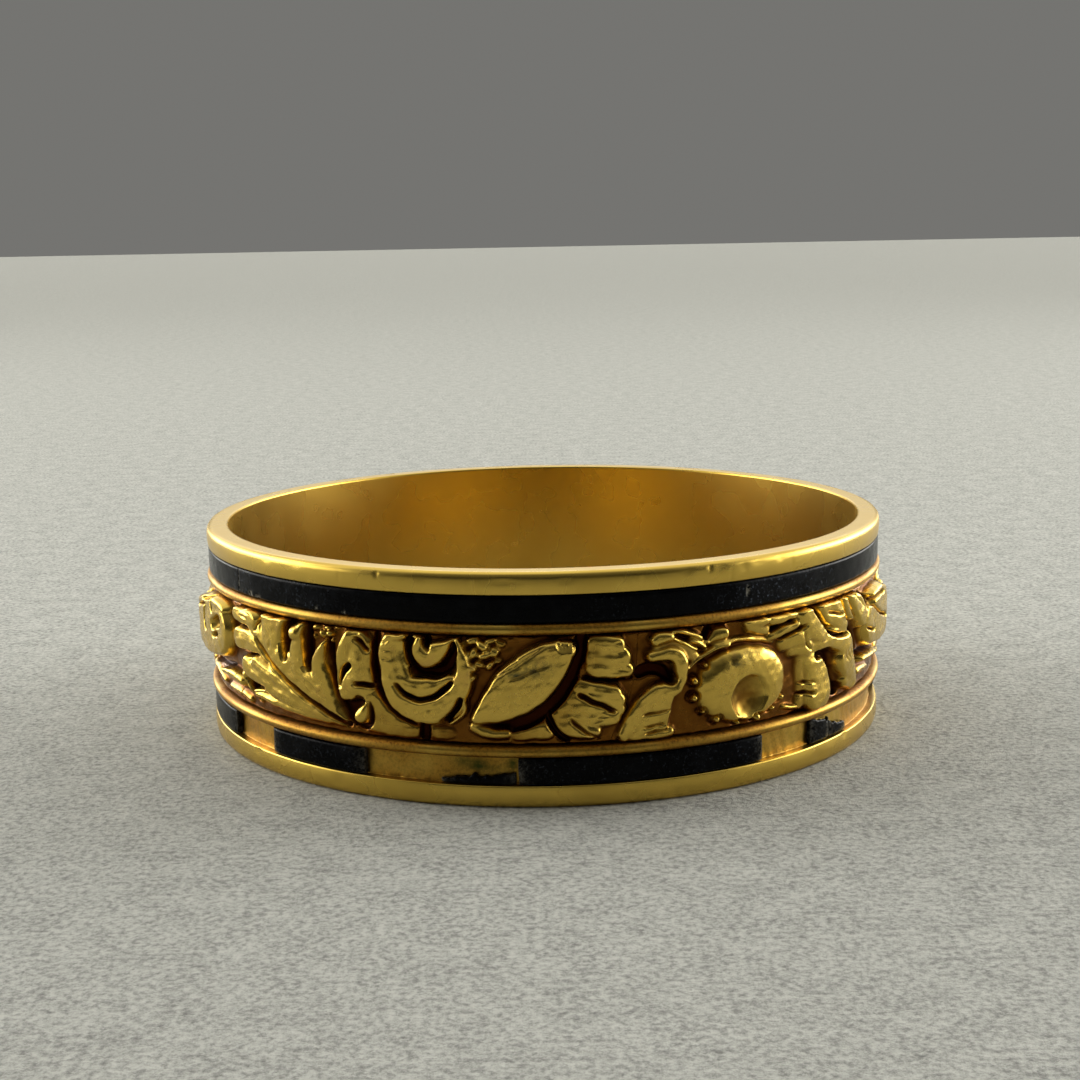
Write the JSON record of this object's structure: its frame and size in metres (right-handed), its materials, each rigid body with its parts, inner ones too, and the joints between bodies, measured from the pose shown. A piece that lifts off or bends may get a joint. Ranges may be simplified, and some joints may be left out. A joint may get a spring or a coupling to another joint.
{
  "type": "mourning ring",
  "caption": "Gold band ring with a cast floral frieze between narrow black enamel bands, worn on a finger; some enamel is lost.",
  "frame": {"origin": "on the ring's axis, in the plane of its lower rim, on which it lies", "axes": "+Z along the ring's axis and up as it lies; -Y towards the side that the picture shows"},
  "size_m": [0.0194, 0.0196, 0.0058],
  "materials": {
    "gold": "satin",
    "enamel": "gloss"
  },
  "bodies": {
    "root": {"band": "gold", "enamel_upper": "enamel", "enamel_lower_1": "enamel", "enamel_lower_2": "enamel", "enamel_lower_3": "enamel", "enamel_lower_4": "enamel", "enamel_lower_5": "enamel", "enamel_lower_6": "enamel"}
  },
  "joints": []
}
